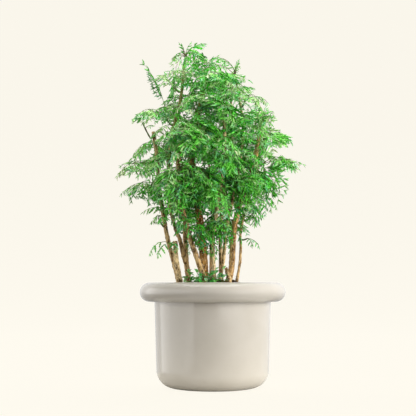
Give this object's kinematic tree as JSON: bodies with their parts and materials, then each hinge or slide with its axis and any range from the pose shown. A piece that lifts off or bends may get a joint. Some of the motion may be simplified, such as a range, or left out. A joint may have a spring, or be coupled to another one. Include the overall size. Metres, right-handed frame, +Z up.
{
  "type": "potted ming aralia",
  "caption": "Bushy ming aralia with woody canes and finely divided arching fronds, growing in soil in a round greige glazed planter with a thick rolled rim.",
  "frame": {"origin": "middle of the pot's flat base, where it stands on the floor", "axes": "+Z up, the side that the picture shows faces -Y, +X to the right of that side"},
  "size_m": [0.5274, 0.4491, 0.9536],
  "materials": {
    "pot_glaze": "gloss",
    "potting_soil": "matte",
    "cane_bark": "matte",
    "frond_leaf": "satin",
    "young_leaf": "satin"
  },
  "bodies": {
    "root": {"cane_fork_right": "cane_bark", "cane_leader_pair": "cane_bark", "cane_leaning": "cane_bark", "cane_left_pruned": "cane_bark", "cane_pale_front": "cane_bark", "cane_right": "cane_bark", "cane_stub_front": "cane_bark", "cane_stub_left": "cane_bark", "cane_thick": "cane_bark", "cane_thin_back": "cane_bark", "cane_wavy_right": "cane_bark", "end_spray_01": "frond_leaf", "end_spray_02": "frond_leaf", "end_spray_03": "frond_leaf", "end_spray_04": "frond_leaf", "end_spray_05": "frond_leaf", "end_spray_06": "frond_leaf", "end_spray_07": "frond_leaf", "end_spray_08": "frond_leaf", "end_spray_09": "frond_leaf", "end_spray_10": "frond_leaf", "pot": "pot_glaze", "soil": "potting_soil", "spray_01": "frond_leaf", "spray_02": "frond_leaf", "spray_03": "frond_leaf", "spray_04": "frond_leaf", "spray_05": "frond_leaf", "spray_06": "frond_leaf", "spray_07": "frond_leaf", "spray_08": "frond_leaf", "spray_09": "frond_leaf", "spray_10": "frond_leaf", "spray_11": "frond_leaf", "spray_12": "frond_leaf", "spray_13": "frond_leaf", "spray_14": "frond_leaf", "spray_15": "frond_leaf", "spray_16": "frond_leaf", "spray_17": "frond_leaf", "spray_18": "frond_leaf", "spray_19": "frond_leaf", "spray_20": "frond_leaf", "spray_21": "frond_leaf", "spray_22": "frond_leaf", "spray_23": "frond_leaf", "spray_24": "frond_leaf", "spray_25": "frond_leaf", "spray_26": "frond_leaf", "spray_27": "frond_leaf", "spray_left_lower": "frond_leaf", "spray_left_upper": "frond_leaf", "spray_left_upright": "frond_leaf", "spray_low_right": "frond_leaf", "spray_over_stub": "frond_leaf", "spray_right_arm": "frond_leaf", "spray_right_hanging": "frond_leaf", "spray_stub_leaves": "frond_leaf", "young_shoot_left": "young_leaf", "young_shoot_middle": "young_leaf"}
  },
  "joints": []
}
